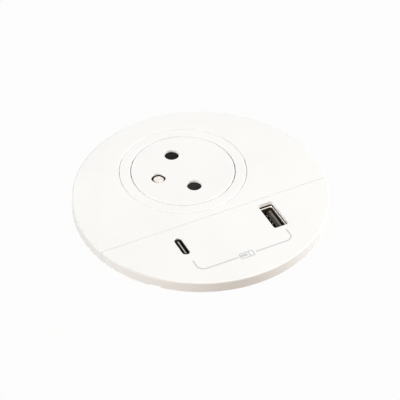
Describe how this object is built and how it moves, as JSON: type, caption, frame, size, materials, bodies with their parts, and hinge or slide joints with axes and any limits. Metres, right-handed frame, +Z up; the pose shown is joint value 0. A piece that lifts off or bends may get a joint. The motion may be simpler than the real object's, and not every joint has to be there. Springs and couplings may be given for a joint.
{
  "type": "round desk socket",
  "caption": "Flush round desk socket: an earthed plug disc that sinks with the plug, two charging ports and screw claws for a round hole.",
  "frame": {"origin": "centre of the rim in the plane of its underside, which is the desk's surface", "axes": "+Z up out of the desk, +Y from the ports towards the socket, +X along the cover's seam"},
  "size_m": [0.094, 0.094, 0.0659],
  "materials": {
    "white_plastic": "fine satin",
    "black_plastic": "fine texture",
    "shutter_black": "smooth",
    "nickel_pin": "polished nickel",
    "spring_steel": "drawn wire",
    "zinc_steel": "zinc plated",
    "shell_steel": "tinned",
    "contact_brass": "bright",
    "gold_contact": "gold flash",
    "die_cast": "cast",
    "tongue_grey": "moulded",
    "tongue_black": "moulded",
    "board_green": "solder mask",
    "ferrite": "sintered",
    "tape_yellow": "tape",
    "can_sleeve": "sleeve",
    "ceramic_blue": "lacquer",
    "fuse_case": "moulded",
    "choke_sleeve": "shrink sleeve",
    "chip_black": "moulded",
    "divider_film": "sheet",
    "terminal_grey": "moulded",
    "wire_brown": "insulation",
    "wire_blue": "insulation",
    "wire_green_yellow": "insulation",
    "wire_black": "insulation",
    "seal_rubber": "moulded"
  },
  "bodies": {
    "housing": {"cover_socket_side": "white_plastic", "cover_port_side": "white_plastic", "housing": "black_plastic", "rear_cover": "black_plastic", "socket_bezel": "white_plastic", "contact_base": "black_plastic", "contact_cover": "black_plastic", "line_contact": "contact_brass", "neutral_contact": "contact_brass", "earth_pin": "nickel_pin", "earth_strap": "contact_brass", "charger_board": "board_green", "port_a_shell": "shell_steel", "port_a_tongue": "tongue_grey", "port_a_contacts": "gold_contact", "port_c_shell": "shell_steel", "port_c_tongue": "tongue_black", "port_c_contacts": "gold_contact", "port_c_riser": "tongue_black", "transformer_core": "ferrite", "transformer_winding": "tape_yellow", "input_capacitors": "can_sleeve", "output_capacitor": "can_sleeve", "safety_capacitor": "ceramic_blue", "fuse": "fuse_case", "filter_choke": "choke_sleeve", "controller_chips": "chip_black", "divider": "divider_film", "terminal_block": "terminal_grey", "line_wire": "wire_brown", "neutral_wire": "wire_blue", "earth_wire": "wire_green_yellow", "board_wires": "wire_black", "inlet_wires": "wire_black", "gland_body": "black_plastic", "gland_locknut": "black_plastic", "gland_seal": "seal_rubber", "gland_cap": "black_plastic", "rear_screws": "zinc_steel", "socket_screws": "zinc_steel", "board_screws": "zinc_steel", "clamp_screws": "zinc_steel", "terminal_screws": "zinc_steel"},
    "disc": {"disc_face": "white_plastic", "disc_carrier": "black_plastic", "disc_screws": "zinc_steel", "disc_spring": "spring_steel"},
    "shutter": {"shutter": "shutter_black", "shutter_spring": "spring_steel"},
    "claw_screw_right": {"claw_screw_right": "zinc_steel"},
    "claw_nut_right": {"claw_nut_right": "contact_brass"},
    "claw_right": {"claw_right": "die_cast"},
    "claw_screw_left": {"claw_screw_left": "zinc_steel"},
    "claw_nut_left": {"claw_nut_left": "contact_brass"},
    "claw_left": {"claw_left": "die_cast"}
  },
  "joints": [
    {"name": "disc_sink", "type": "slide", "parent": "housing", "child": "disc", "axis": [0, 0, -1], "range_m": [0, 0.0145], "stiffness_N_per_m": 350, "springref_m": -0.006, "deforming": ["disc_spring"]},
    {"name": "shutter_turn", "type": "hinge", "parent": "disc", "child": "shutter", "pos_m": [0, 0.0147, 0.0018], "axis": [0, 0, 1], "range_deg": [0, 38], "stiffness_Nm_per_rad": 0.004, "springref_deg": -22.92},
    {"name": "claw_screw_right_turn", "type": "hinge", "parent": "housing", "child": "claw_screw_right", "pos_m": [0.0348, -0.0025, 0], "axis": [0, 0, -1], "range_deg": [0, 13372]},
    {"name": "claw_climb_right", "type": "slide", "parent": "housing", "child": "claw_nut_right", "axis": [0, 0, 1], "range_m": [0, 0.026]},
    {"name": "claw_swing_right", "type": "hinge", "parent": "claw_nut_right", "child": "claw_right", "pos_m": [0.0348, -0.0025, -0.038], "axis": [0, 0, -1], "range_deg": [0, 90]},
    {"name": "claw_screw_left_turn", "type": "hinge", "parent": "housing", "child": "claw_screw_left", "pos_m": [-0.0348, 0.0025, 0], "axis": [0, 0, -1], "range_deg": [0, 13372]},
    {"name": "claw_climb_left", "type": "slide", "parent": "housing", "child": "claw_nut_left", "axis": [0, 0, 1], "range_m": [0, 0.026]},
    {"name": "claw_swing_left", "type": "hinge", "parent": "claw_nut_left", "child": "claw_left", "pos_m": [-0.0348, 0.0025, -0.038], "axis": [0, 0, -1], "range_deg": [0, 90]}
  ],
  "couplings": [
    {"joint": "claw_screw_right_turn", "follows": "claw_climb_right", "rad_per_m": 8976},
    {"joint": "claw_screw_left_turn", "follows": "claw_climb_left", "rad_per_m": 8976}
  ]
}
